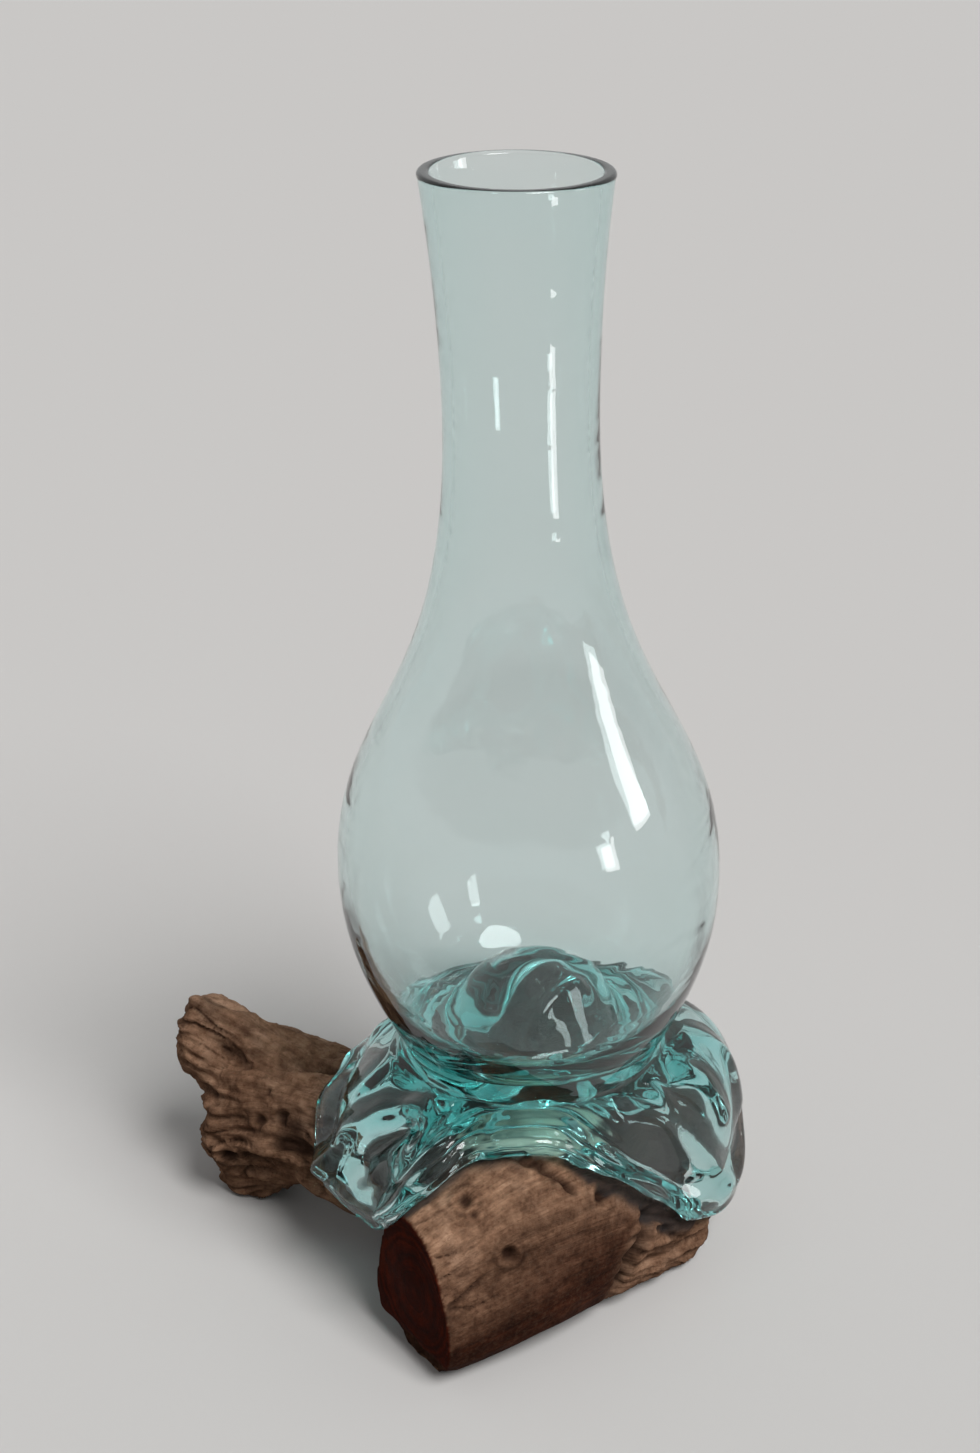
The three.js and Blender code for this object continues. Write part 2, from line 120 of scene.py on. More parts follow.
# Wood that the saw tore out below the sawn face, up to an uneven height
torn_heights, torn_raggedness = (0.0040, 0.0095), 0.0015
torn_depth, torn_reach = 0.0035, 0.008
pith = sawn_centre + (0.002, 0, 0.003)  # not quite in the middle of the sawn face
year_width = 0.0024


def noise_at(points, size, seed, octaves=1):
    """Noise from about -1 to 1 whose lumps have the given size: one number, or one for each axis."""
    places = (points / np.array(size) + seed * np.array((11.3, 7.7, 5.1))).tolist()
    if octaves == 1:
        return np.array([noise.noise(place) for place in places])
    return np.array([noise.fractal(place, 1.0, 2.0, octaves) for place in places])


def smoothstep(start, end, values):
    share = np.clip((values - start) / (end - start), 0, 1)
    return share * share * (3 - 2 * share)


def distance_to_line(points, line):
    """Distance of each point from a line of straight stretches."""
    nearest = np.full(len(points), np.inf)
    for start, end in zip(np.array(line[:-1]), np.array(line[1:])):
        way = end - start
        share = np.clip((points - start) @ way / (way @ way), 0, 1)
        nearest = np.minimum(nearest, np.linalg.norm(points - start - share[:, None] * way, axis=1))
    return nearest


def smooth_stations(stations, steps):
    """A limb's stations, with smooth ones filled in between them."""
    rows = np.array([stations[0], *stations, stations[-1]], float)
    filled = []
    for place in np.linspace(0, len(stations) - 1, steps):
        k = min(int(place), len(stations) - 2)
        a, b, c, d = rows[k:k + 4]
        t = place - k
        filled.append(b + 0.5 * ((c - a) * t + (2 * a - 5 * b + 4 * c - d) * t ** 2
                                 + (3 * b - a - 3 * c + d) * t ** 3))
    return np.array(filled)


def limb_places(points, stations):
    """Points told by a limb: along it, across it and up from its middle, and how far out they lie."""
    rows = smooth_stations(stations, limb_steps)
    forward = np.gradient(rows[:, :2], axis=0)
    forward /= np.linalg.norm(forward, axis=1)[:, None]
    steps = np.linalg.norm(np.diff(rows[:, :2], axis=0), axis=1)
    along = np.concatenate(([0], np.cumsum(steps)))
    gaps = points[:, None, :2] - rows[None, :, :2]
    nearest = (gaps ** 2).sum(2).argmin(1)
    gap = gaps[np.arange(len(points)), nearest]
    ahead = (gap * forward[nearest]).sum(1)
    across = gap[:, 1] * forward[nearest, 0] - gap[:, 0] * forward[nearest, 1]
    half_width, top, under = rows[nearest, 2], rows[nearest, 3], rows[nearest, 4]
    up = points[:, 2] - (top + under) / 2
    half_height = (top - under) / 2
    outward = np.sqrt((ahead / half_width) ** 2 + (across / half_width) ** 2 + (up / half_height) ** 2)
    return np.stack((along[nearest] + ahead, across, up), axis=1), outward


def wood_relief(places, seed, craggy):
    """How far the wood stands out of its plain form at these limb places, and how much painted shade its
    hollows get there.
    """
    def lumps(points, size, seed_step, octaves=1):
        return noise_at(points, (size[0], size[1], size[1]), seed + seed_step, octaves)

    bent = places + lumps(places, wander_size, 20)[:, None] * (0, wander_reach, wander_reach)
    swell = lumps(places, swell_size, 0)
    furrow = lumps(bent, furrow_size, 30, octaves=2)
    opened = np.clip(lumps(places, open_size, 50) * 2.6 - 0.15, 0, 1)
    crack = np.clip(1 - np.abs(lumps(bent, crack_size, 40)) / 0.06, 0, 1) * opened
    fold = 1 - 2.2 * np.abs(lumps(bent, fold_size, 60))
    small_fold = 1 - 2.2 * np.abs(lumps(bent, small_fold_size, 70))
    pit = np.clip(lumps(places, pit_size, 80) - 0.42, 0, 1) * 2.4
    out = swell_height * swell + furrow_height * furrow - crack_depth * crack
    out += craggy * (fold_height * fold + small_fold_height * small_fold - pit_depth * pit - craggy_sink)
    dark = crack_dark * crack + furrow_dark * np.clip(-furrow, 0, 1)
    dark += craggy * (fold_dark * np.clip(0.15 - fold, 0, 1)
                      + small_fold_dark * np.clip(0.1 - small_fold, 0, 1) + pit_dark * pit)
    return out, np.clip(dark, 0, 1)


def add_object(name, data):
    made = bpy.data.objects.new(name, data)
    bpy.context.collection.objects.link(made)
    return made


def finished_mesh(draft):
    """The mesh that a draft's modifier makes. The draft is not needed after it."""
    mesh = bpy.data.meshes.new_from_object(draft.evaluated_get(bpy.context.evaluated_depsgraph_get()))
    draft.modifiers.clear()
    bpy.data.objects.remove(draft)
    return mesh


# The wood starts as a copy of the CAD solid with even, small faces
root_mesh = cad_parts["root"].data.copy()
root_bm = bmesh.new()
root_bm.from_mesh(root_mesh)
bmesh.ops.remove_doubles(root_bm, verts=root_bm.verts, dist=1e-6)
root_bm.to_mesh(root_mesh)
root_bm.free()
root_draft = add_object("root_draft", root_mesh)
even_faces = root_draft.modifiers.new("even faces", "REMESH")
even_faces.mode = "VOXEL"
even_faces.voxel_size = root_voxel
root_skin = finished_mesh(root_draft)


def read(items, name, width=3, kind=np.float32):
    """What a mesh holds under this name for each of its points, edges or corners."""
    values = np.empty(len(items) * width, kind)
    items.foreach_get(name, values)
    return values.reshape(-1, width).astype(float if kind == np.float32 else kind)


def move_wood():
    root_skin.vertices.foreach_set("co", wood.astype(np.float32).ravel())
    root_skin.update()


# The steps of the CAD solid are smoothed away, and the two sawn planes stay flat
wood = read(root_skin.vertices, "co")
edges = read(root_skin.edges, "vertices", 2, np.int32)
neighbours = np.bincount(edges.ravel(), minlength=len(wood))[:, None]
from_saw = (wood - sawn_centre) @ sawn_facing
near_saw = np.linalg.norm(wood - sawn_centre, axis=1) < sawn_reach
on_saw = near_saw & (np.abs(from_saw) < flat_reach)
on_underside = wood[:, 2] < flat_reach
for _ in range(smoothing_rounds):
    total = np.zeros_like(wood)
    np.add.at(total, edges[:, 0], wood[edges[:, 1]])
    np.add.at(total, edges[:, 1], wood[edges[:, 0]])
    wood += smoothing_share * (total / neighbours - wood)
    wood[on_saw] -= ((wood[on_saw] - sawn_centre) @ sawn_facing)[:, None] * sawn_facing
    wood[on_underside, 2] = 0
move_wood()
normals = read(root_skin.vertex_normals, "vector")
upward = normals[:, 2].copy()

# Grain, furrows, cracks and folds
limb_out, limb_dark, limb_weight, limb_grain = [], [], [], []
for seed, craggy, stations in root_limbs.values():
    places, outward = limb_places(wood, stations)
    weight = np.exp(-limb_blend * (outward - 1))
    near = weight > faint
    out, dark = np.zeros(len(wood)), np.zeros(len(wood))
    out[near], dark[near] = wood_relief(places[near], seed, craggy)
    limb_out.append(out)
    limb_dark.append(dark)
    limb_weight.append(np.where(near, weight, 0) + 1e-6)
    limb_grain.append(places + seed * np.array((0.31, 0.17, 0.23)))
limb_weight = np.array(limb_weight)
limb_weight /= limb_weight.sum(0)
relief = (limb_weight * limb_out).sum(0)
hollow_shade = (limb_weight * limb_dark).sum(0)
# The middle of each dent and a line round the foot of its ring are darkened: painted shade
for place, radius, depth, ring in root_knots:
    distance = np.linalg.norm(wood - np.array(place), axis=1) / radius
    relief += ring * np.exp(-((distance - knot_ring) / knot_ring_width) ** 2) - depth * np.exp(-distance ** 2)
    hollow_shade += np.exp(-distance ** 4)
    hollow_shade += knot_line_dark * np.exp(-((distance - knot_line) / knot_line_width) ** 2)
ragged = wood + crack_raggedness * noise_at(wood, 0.004, 91)[:, None]
# Each crack is darkened along its line: painted shade
for line, half_width, depth in root_cracks:
    distance = distance_to_line(ragged, line) / half_width
    relief -= depth * np.exp(-distance ** 2)
    hollow_shade += np.exp(-(distance / 1.2) ** 2)
flat = on_saw | on_underside
from_flat = np.where(near_saw, np.minimum(np.abs((wood - sawn_centre) @ sawn_facing), wood[:, 2]), wood[:, 2])
relief *= smoothstep(0, flat_fade, from_flat)
hollow_shade *= np.where(flat, 0.3, 1)
normals[on_underside, 2] = 0
wood += relief[:, None] * normals
wood[:, 2] = np.maximum(wood[:, 2], 0)
wood[on_underside, 2] = 0

# The saw's exit tore out the lower edge of the sawn face, which shows raw brown wood
torn = 1 - smoothstep(*torn_heights, wood[:, 2] + torn_raggedness * noise_at(wood, 0.007, 92))
torn *= smoothstep(-torn_reach, 0, from_saw) * near_saw
wood -= (torn_depth * torn * (1 + 0.25 * noise_at(wood, 0.004, 93)))[:, None] * sawn_facing
move_wood()

# Growth rings lie round the pith
from_pith = np.linalg.norm(wood - pith - ((wood - pith) @ sawn_facing)[:, None] * sawn_facing, axis=1)

# Each face follows the grain of its nearest limb, and blends towards that of the second nearest
loop_points = read(root_skin.loops, "vertex_index", 1, np.int32)[:, 0]
loop_faces = np.repeat(np.arange(len(root_skin.polygons)), [p.loop_total for p in root_skin.polygons])
face_weight = np.zeros((len(root_limbs), len(root_skin.polygons)))
np.add.at(face_weight.T, loop_faces, limb_weight.T[loop_points])
order = np.argsort(-face_weight, axis=0)
first, second = order[0][loop_faces], order[1][loop_faces]
limb_grain = np.array(limb_grain)


def store(name, values, kind="FLOAT", domain="POINT"):
    """Keep values on the wood for its material to read."""
    layer = root_skin.attributes.new(name, kind, domain)
    layer.data.foreach_set("vector" if kind == "FLOAT_VECTOR" else "value", values.astype(np.float32).ravel())


first_share = limb_weight[first, loop_points]
second_share = limb_weight[second, loop_points]
store("grain", limb_grain[first, loop_points], "FLOAT_VECTOR", "CORNER")
store("second_grain", limb_grain[second, loop_points], "FLOAT_VECTOR", "CORNER")
store("second_share", second_share / (first_share + second_share), domain="CORNER")
store("hollow_shade", np.clip(hollow_shade, 0, 1))
store("sawn", flat * (1 - np.where(on_saw, torn, 0)))
store("from_pith", from_pith)
# Painted light and shade: the paler tone goes where faces look up, the darker one where they look down;
# craggy limbs are paler from weathering
craggy_share = np.array([craggy for _, craggy, _ in root_limbs.values()])
weathered = (limb_weight * craggy_share[:, None]).sum(0)
store("lit_and_weathered", np.maximum(smoothstep(-0.2, 0.9, upward), 0.9 * weathered))


def fill_inputs(tree, node, inputs):
    """Give a node its inputs, by name or number, as values or as other nodes' outputs."""
    for name, value in dict(inputs).items():
        if isinstance(value, bpy.types.NodeSocket):
            tree.links.new(value, node.inputs[name])
        else:
            node.inputs[name].default_value = value
    return node


def add_node(material, kind, inputs=(), **settings):
    made = material.node_tree.nodes.new("ShaderNode" + kind)
    for name, value in settings.items():
        setattr(made, name, value)
    return fill_inputs(material.node_tree, made, inputs)


def colour(red, green, blue):
    """A colour written as it looks on a screen, from 0 to 255, as the shader wants it."""
    parts = [(part / 255 + 0.055) / 1.055 for part in (red, green, blue)]
    return (*(part ** 2.4 for part in parts), 1)


def new_material(name):
    material = bpy.data.materials.new(name)
    material.use_nodes = True
    return material


def finish_surface(material, inputs):
    fill_inputs(material.node_tree, material.node_tree.nodes["Principled BSDF"], inputs)


root_wood = new_material("root_wood")


def stored(name, output="Fac"):
    return add_node(root_wood, "Attribute", attribute_name=name).outputs[output]


def ramp(factor, *stops):
    made = add_node(root_wood, "ValToRGB", {"Fac": factor})
    steps = made.color_ramp.elements
    while len(steps) < len(stops):
        steps.new(0.5)
    for step, (position, shade) in zip(steps, stops):
        step.position = position
        step.color = colour(*shade)
    return made.outputs["Color"]


def noise_texture(material, inputs, **settings):
    return add_node(material, "TexNoise", {"Scale": 1.0, **inputs}, **settings).outputs["Fac"]


def grain_noise(size, detail, distortion=0.0):
    """Noise that runs with the grain, blended where two limbs meet. Sizes are along and across."""
    shades = []
    for name in ("grain", "second_grain"):
        stretched = add_node(root_wood, "Mapping", {
            "Vector": stored(name, "Vector"), "Scale": (1 / size[0], 1 / size[1], 1 / size[1])})
        shades.append(noise_texture(root_wood, {
            "Vector": stretched.outputs["Vector"], "Detail": detail, "Roughness": 0.62,
            "Distortion": distortion}))
    mixed = add_node(root_wood, "Mix", {"Factor": stored("second_share"), "A": shades[0], "B": shades[1]})
    return mixed.outputs["Result"]


def spot_noise(scale, detail, roughness):
    """Noise that doesn't run with the grain."""
    place = add_node(root_wood, "TexCoord").outputs["Object"]
    return noise_texture(root_wood, {
        "Vector": place, "Scale": scale, "Detail": detail, "Roughness": roughness})


def mix_colour(material, factor, a, b, blend="MIX"):
    made = add_node(material, "Mix", data_type="RGBA", blend_type=blend)
    for name, value in (("Factor", factor), ("A", a), ("B", b)):
        socket = next(s for s in made.inputs if s.name == name and (name == "Factor" or s.type == "RGBA"))
        if isinstance(value, bpy.types.NodeSocket):
            material.node_tree.links.new(value, socket)
        else:
            socket.default_value = value
    return next(s for s in made.outputs if s.type == "RGBA")


def maths(material, operation, *values):
    return add_node(material, "Math", dict(enumerate(values)), operation=operation).outputs["Value"]


def wood_maths(operation, *values):
    return maths(root_wood, operation, *values)


fibres = grain_noise((0.009, 0.0007), 5)
streaks = grain_noise((0.045, 0.0036), 3, 0.6)
patches = spot_noise(62.0, 4.0, 0.6)
blotches = spot_noise(260.0, 4.0, 0.65)
specks = spot_noise(900.0, 3.0, 0.7)

# Faces that look up are painted lighter, as painted light, and the sides below a darker, redder brown,
# as painted shade; the craggy limbs also take the paler tone from weathering
lit_and_weathered_tone = ramp(patches, (0.32, (186, 149, 123)), (0.50, (206, 168, 140)), (0.68, (224, 189, 162)))
painted_shade_tone = ramp(patches, (0.32, (64, 33, 20)), (0.50, (80, 43, 27)), (0.68, (98, 57, 39)))
tone = mix_colour(root_wood, stored("lit_and_weathered"), painted_shade_tone, lit_and_weathered_tone)

# Dark streaks, fibres and blotches, then pale dust and dark pores
streaked = ramp(streaks, (0.28, (140, 124, 112)), (0.50, (212, 203, 196)), (0.72, (250, 245, 240)))
fibred = ramp(fibres, (0.30, (150, 138, 130)), (0.52, (218, 211, 206)), (0.70, (252, 250, 248)))
mottled = ramp(blotches, (0.34, (162, 150, 144)), (0.50, (218, 211, 206)), (0.62, (250, 248, 246)))
for strength, shade in ((0.60, streaked), (0.60, fibred), (0.85, mottled)):
    tone = mix_colour(root_wood, strength, tone, shade, "MULTIPLY")
dusty = ramp(specks, (0.48, (0, 0, 0)), (0.70, (84, 84, 84)))
tone = mix_colour(root_wood, dusty, tone, colour(168, 144, 122))
pores = ramp(specks, (0.36, (96, 84, 78)), (0.46, (255, 255, 255)))
tone = mix_colour(root_wood, 0.28, tone, pores, "MULTIPLY")

# Painted shade in the hollows, the scorch under the hot glass and a painted highlight on the crest under the
# arch
for name, strength, shade in (
        ("hollow_shade", 0.88, (34, 18, 12)), ("scorched", 0.86, (46, 44, 44)), ("painted_highlight", 1.0, (248, 238, 220))):
    tone = mix_colour(root_wood, wood_maths("MULTIPLY", stored(name), strength), tone, colour(*shade))

# The sawn faces are raw, dark and ringed, and their rings wander
years = wood_maths("ADD", wood_maths("DIVIDE", stored("from_pith"), year_width),
                   wood_maths("MULTIPLY", patches, 3.0))
rings = noise_texture(root_wood, {"W": years, "Detail": 2.0, "Roughness": 0.6}, noise_dimensions="1D")
sawn_shade = wood_maths("MULTIPLY", wood_maths("ADD", rings, blotches), 0.5)
sawn_tone = ramp(sawn_shade, (0.34, (32, 7, 1)), (0.50, (56, 15, 3)), (0.66, (84, 27, 9)))
tone = mix_colour(root_wood, stored("sawn"), tone, sawn_tone)

relief_height = wood_maths("ADD", fibres, wood_maths("MULTIPLY", specks, 0.22))
wood_bump = add_node(root_wood, "Bump", {"Strength": 0.8, "Distance": 0.0005, "Height": relief_height})
wood_roughness = add_node(root_wood, "MapRange", {
    "Value": patches, "From Min": 0.3, "From Max": 0.7, "To Min": 0.92, "To Max": 0.74})
finish_surface(root_wood, {
    "Base Color": tone, "Normal": wood_bump.outputs["Normal"],
    "Roughness": wood_roughness.outputs["Result"], "Specular IOR Level": 0.07})


def place_piece(mesh, name, material, body, node):
    mesh.materials.clear()
    mesh.materials.append(material)
    mesh.name = name
    mesh.polygons.foreach_set("use_smooth", np.ones(len(mesh.polygons), bool))
    piece = add_object(name, mesh)
    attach(piece, body)
    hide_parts(node)


place_piece(root_skin, "weathered_root", root_wood, "root", "root")


# Vase
# One mouth-blown vessel of recycled bottle glass, from the rim to the foot a single gather. Its hot,
# thick bottom was lowered on to the root, slumped over it and set there. It is fixed by nothing.
bearings = 224
rim_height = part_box("vase")[1].z
crest_height = 0.056
collar_radius = 0.031
collar_height = 0.073
rim_radius = 0.0226
neck_radius = 0.0185
neck_height = 0.242
bulb_radius = 0.0482
bulb_height = 0.125
shoulder_handle = 0.042
neck_handle = 0.071
belly_handle = 0.020
belly_fullness = 0.58
lean = math.tan(math.radians(1.26))
rim_wall = 0.0030
neck_wall = 0.0026
rim_rounding = 0.0009
bulb_wall = 0.0022
trough_radius = 0.0245
trough_height = 0.080
trough_fullness, trough_rounding = 0.42, 0.8
floor_rise = 0.016
floor_shift = 0.004
lip_thickness = 0.0062
lip_rounding = 0.0027
underside_height = 0.053
arch_lift = 0.006
sheet_thickness = 0.0066
core_thickness = 0.011
arch_thickening, corner_thickening = 0.007, 0.0035
least_skirt, least_crease = 0.0030, 0.004  # thickness left over the highest wood
seat_gap = 0.00045
belly_end, foot_start = 0.9, 0.14  # shares of their curves that the melted crease joins
crease_steps, foot_steps, underside_rings = 8, 56, 84

# Unevenness of the blown glass: its height and the size of its lumps
skirt_unevenness, skirt_lump = 0.0012, 0.024
floor_unevenness, floor_lump = 0.0005, 0.014

# The rounded bead along the lip, the groove above it, and the ripples over the arch: height, how far
# from the lip, and width or length
bead_height, bead_middle, bead_width = 0.0019, 0.0042, 0.0032
groove_share, groove_middle, groove_width = 0.7, 0.0125, 0.0045
ripple_height, ripple_start, ripple_length, ripple_reach = 0.00110, 0.0028, 0.0062, 0.018

turns = np.arange(bearings) / bearings * 2 * math.pi
degrees = np.degrees(turns)
directions = np.stack((np.cos(turns), np.sin(turns)), axis=1)


def bezier(handles, shares):
    """Points of a curve of three or four handles. A handle may be one point or one for each bearing."""
    shares = np.asarray(shares, float).reshape(-1, *[1] * (np.ndim(handles[-1])))
    rest = 1 - shares
    weights = {
        3: (rest ** 2, 2 * rest * shares, shares ** 2),
        4: (rest ** 3, 3 * rest ** 2 * shares, 3 * rest * shares ** 2, shares ** 3),
    }[len(handles)]
    return sum(weight * np.asarray(handle, float) for weight, handle in zip(weights, handles))


def swept(profile):
    """Rings round the axis from a radius and height for each step, or for each step and bearing."""
    profile = np.asarray(profile)
    if profile.ndim == 2:
        profile = profile[:, None]
    rings = np.empty((len(profile), bearings, 3))
    rings[..., :2] = profile[..., :1] * directions
    rings[..., 2] = profile[..., 1]
    return rings


def pairs(radius, height):
    radius, height = np.broadcast_arrays(radius, height)
    return np.stack((radius, height), axis=-1)


def shares(steps, first=0.0, last=1.0):
    """Even shares of a curve, without the first, which belongs to the curve before."""
    return np.linspace(first, last, steps + 1)[1:]


# Outside of the wall, from the rim down to the melted crease above the foot
neck_point = (neck_radius, neck_height)
bulb_point = (bulb_radius, bulb_height)
flare = [(rim_radius, rim_height), (neck_radius, (neck_height + rim_height) / 2), neck_point]
shoulder = [neck_point, (neck_radius, neck_height - neck_handle),
            (bulb_radius, bulb_height + shoulder_handle), bulb_point]
belly = [bulb_point, (bulb_radius, bulb_height - belly_handle),
         (collar_radius + (bulb_radius - collar_radius) * belly_fullness,
          collar_height + (bulb_height - collar_height) / 3), (collar_radius, collar_height)]

# Inside of the wall, from the trough round the floor up to the rim
inner_bulb = bulb_radius - bulb_wall
inner_neck = neck_radius - neck_wall
trough_side = trough_radius * trough_rounding
floor_curve = [(0.0, trough_height + floor_rise), (trough_side, trough_height + floor_rise),
               (trough_side, trough_height), (trough_radius, trough_height)]
inner_belly = [(trough_radius, trough_height),
               (trough_radius + (bulb_radius - trough_radius) * trough_fullness, trough_height),
               (inner_bulb, bulb_height - belly_handle), (inner_bulb, bulb_height)]
inner_shoulder = [(inner_bulb, bulb_height), (inner_bulb, bulb_height + shoulder_handle),
                  (inner_neck, neck_height - neck_handle), (inner_neck, neck_height)]
inner_flare = [(inner_neck, neck_height), (inner_neck, (neck_height + rim_height) / 2),
               (rim_radius - rim_wall, rim_height)]

# Lower edge of the foot: bearing, reach from the axis, height against the wood's crest, squareness
lip_stations = np.array([
    (0, 0.052, -0.035, 0.75), (12, 0.059, -0.033, 0.80), (24, 0.061, -0.022, 0.82),
    (36, 0.058, -0.005, 0.82), (54, 0.051, -0.014, 0.75), (78, 0.044, -0.026, 0.60),
    (102, 0.043, -0.022, 0.60), (126, 0.046, -0.012, 0.60), (144, 0.050, -0.003, 0.50),
    (160, 0.053, -0.008, 0.45), (174, 0.056, -0.018, 0.45), (187, 0.055, -0.022, 0.50),
    (200, 0.050, -0.024, 0.50), (212, 0.046, -0.025, 0.50), (222, 0.050, -0.018, 0.50),
    (230, 0.049, -0.009, 0.50), (238, 0.037, -0.001, 0.50), (250, 0.032, 0.001, 0.50),
    (268, 0.030, 0.002, 0.50), (286, 0.030, 0.000, 0.50), (306, 0.031, -0.010, 0.50),
    (328, 0.035, -0.023, 0.60), (344, 0.041, -0.032, 0.70),
])
foot_fullness = 0.75


def lip_values():
    """Reach, height and squareness of the lip at each bearing."""
    starts = lip_stations[:, 0]
    k = np.searchsorted(starts, degrees, side="right") - 1
    following = (k + 1) % len(starts)
    values = lip_stations[:, 1:]
    reach_of = (np.roll(starts, -1) - np.roll(starts, 1)) % 360
    slopes = (np.roll(values, -1, axis=0) - np.roll(values, 1, axis=0)) / reach_of[:, None]
    span = (starts[following] - starts[k]) % 360
    blend = ((degrees - starts[k]) / span)[:, None]
    ease = smoothstep(0, 1, blend)
    leaving, arriving = span[:, None] * blend * (1 - blend) ** 2, span[:, None] * blend ** 2 * (blend - 1)
    smooth = (values[k] * (1 - ease) + values[following] * ease + leaving * slopes[k]
              + arriving * slopes[following])
    return smooth[:, 0], crest_height + smooth[:, 1], smooth[:, 2]


lip_reach, lip_height, lip_square = lip_values()
lip_ring = np.insert(directions, 2, 0, axis=1)
lip_reach = lip_reach + 0.0005 * noise_at(lip_ring, 0.16, 201)
lip_height = lip_height + 0.0006 * noise_at(lip_ring, 0.12, 202)

# The hot glass scorched the wood that it lay on
wood_bearing = np.arctan2(wood[:, 1], wood[:, 0]) % (2 * math.pi)
edge_reach = np.interp(wood_bearing, turns, lip_reach, period=2 * math.pi)
edge_height = np.interp(wood_bearing, turns, lip_height, period=2 * math.pi)
ragged = 0.0008 * noise_at(wood, 0.005, 211)
under_foot = 1 - smoothstep(-0.0015, 0.0012, np.linalg.norm(wood[:, :2], axis=1) - edge_reach + ragged)
under_foot *= smoothstep(-0.006, -0.003, wood[:, 2] - edge_height + ragged)
store("scorched", under_foot)

# On the crest under the arch a pale patch is painted over the scorch: a painted highlight, which the arch
# shows as a bright band
highlight_middle, highlight_reach = (-0.0030, -0.0160), (0.0180, 0.0100)
from_highlight = np.linalg.norm((wood[:, :2] - highlight_middle) / highlight_reach, axis=1)
from_highlight += 0.35 * noise_at(wood, 0.006, 212, 2)
highlight_streaks = 0.90 + 0.8 * noise_at(wood, (0.014, 0.0026, 0.0026), 213)
painted_highlight = (1 - smoothstep(0.72, 1.0, from_highlight)) * np.clip(highlight_streaks, 0, 1) * under_foot
store("painted_highlight", painted_highlight)

ones = np.ones(bearings)
foot_handles = [
    pairs(collar_radius * ones, collar_height),
    pairs(collar_radius + (lip_reach - collar_radius) * lip_square, collar_height),
    pairs(lip_reach, lip_height + (collar_height - lip_height) * lip_square * foot_fullness),
    pairs(lip_reach, lip_height),
]
crease_start = bezier(belly, [belly_end])[0]
crease_end = bezier(foot_handles, [foot_start])[0]
crease = swept(bezier([pairs(crease_start[0] * ones, crease_start[1]), foot_handles[0], crease_end],
                      shares(crease_steps)))
foot_shares = shares(foot_steps, foot_start)
foot = swept(bezier(foot_handles, foot_shares))
foot_shares = foot_shares[:, None]

# Folds of the slumped glass: the line each follows over the foot, its half-width and its height
foot_folds = [
    ([(-0.0286, -0.0245, 0.0689), (-0.0379, -0.0169, 0.0619), (-0.0474, -0.0109, 0.0524),
      (-0.0531, -0.0078, 0.0403), (-0.0560, -0.0060, 0.0260)], 0.0034, 0.0026),
    ([(-0.0306, -0.0275, 0.0640), (-0.0379, -0.0205, 0.0560), (-0.0452, -0.0165, 0.0470)], 0.0042, -0.0030),
    ([(-0.0338, -0.0260, 0.0594), (-0.0414, -0.0215, 0.0450), (-0.0470, -0.0165, 0.0344)], 0.0026, 0.0016),
    ([(-0.0235, -0.0310, 0.0600), (-0.0300, -0.0320, 0.0500), (-0.0365, -0.0320, 0.0390)], 0.0026, 0.0016),
    ([(0.0300, -0.0165, 0.0710), (0.0374, -0.0108, 0.0575), (0.0444, -0.0065, 0.0448),
      (0.0522, 0.0008, 0.0288)], 0.0026, 0.0018),
    ([(0.0340, -0.0060, 0.0720), (0.0448, -0.0006, 0.0624), (0.0510, 0.0030, 0.0480)], 0.0024, 0.0016),
    ([(0.0400, 0.0100, 0.0720), (0.0520, 0.0130, 0.0600), (0.0580, 0.0150, 0.0420)], 0.0026, 0.0014),
    ([(0.0300, -0.0200, 0.0600), (0.0380, -0.0130, 0.0480), (0.0420, -0.0110, 0.0400)], 0.0060, -0.0022),
    ([(-0.0330, 0.0120, 0.0720), (-0.0440, 0.0180, 0.0640), (-0.0500, 0.0200, 0.0540)], 0.0040, 0.0016),
    ([(-0.0100, 0.0330, 0.0700), (-0.0130, 0.0420, 0.0560), (-0.0120, 0.0430, 0.0400)], 0.0034, 0.0020),
    ([(0.0120, 0.0340, 0.0700), (0.0160, 0.0420, 0.0560), (0.0140, 0.0430, 0.0400)], 0.0040, 0.0018),
]


def arc(start, full, fade, end):
    """1 at the bearings from full to fade, in degrees, and 0 outside start and end."""
    return (smoothstep(start, full, degrees) * (1 - smoothstep(fade, end, degrees)))[None, :]


def ring_normals(rings):
    """Outward direction of a band of rings that run downwards outside."""
    down = np.gradient(rings, axis=0)
    around = np.roll(rings, -1, axis=1) - np.roll(rings, 1, axis=1)
    normals = np.cross(down, around)
    return normals / np.linalg.norm(normals, axis=-1, keepdims=True)


flat_foot = foot.reshape(-1, 3)
steps_down = np.linalg.norm(np.diff(foot, axis=0), axis=-1)
from_lip = np.concatenate((np.cumsum(steps_down[::-1], axis=0)[::-1], np.zeros((1, bearings))))
relief = np.zeros(foot.shape[:2])
for line, half_width, height in foot_folds:
    distance = distance_to_line(flat_foot, line).reshape(relief.shape)
    relief += height * np.exp(-(distance / half_width) ** 2)
over_arch = arc(226, 244, 300, 326)
bead = np.exp(-((from_lip - bead_middle) / bead_width) ** 2)
groove = np.exp(-((from_lip - groove_middle) / groove_width) ** 2)
relief += bead_height * (bead - groove_share * groove) * (1 - over_arch)
wandering = from_lip + 0.0008 * noise_at(flat_foot, 0.014, 208).reshape(relief.shape)
ripple_turn = 2 * math.pi * (wandering - ripple_start) / ripple_length
ripple = (np.cos(ripple_turn) - 0.3 * np.sin(2 * ripple_turn)) * np.exp(-(from_lip / ripple_reach) ** 2)
relief += (0.00008 + ripple_height * over_arch) * ripple
relief += skirt_unevenness * noise_at(flat_foot, skirt_lump, 203).reshape(relief.shape)
relief *= smoothstep(foot_start, foot_start + 0.20, foot_shares)
relief *= 1 - 0.7 * smoothstep(0.9, 1.0, foot_shares)
foot = foot + relief[..., None] * ring_normals(foot)

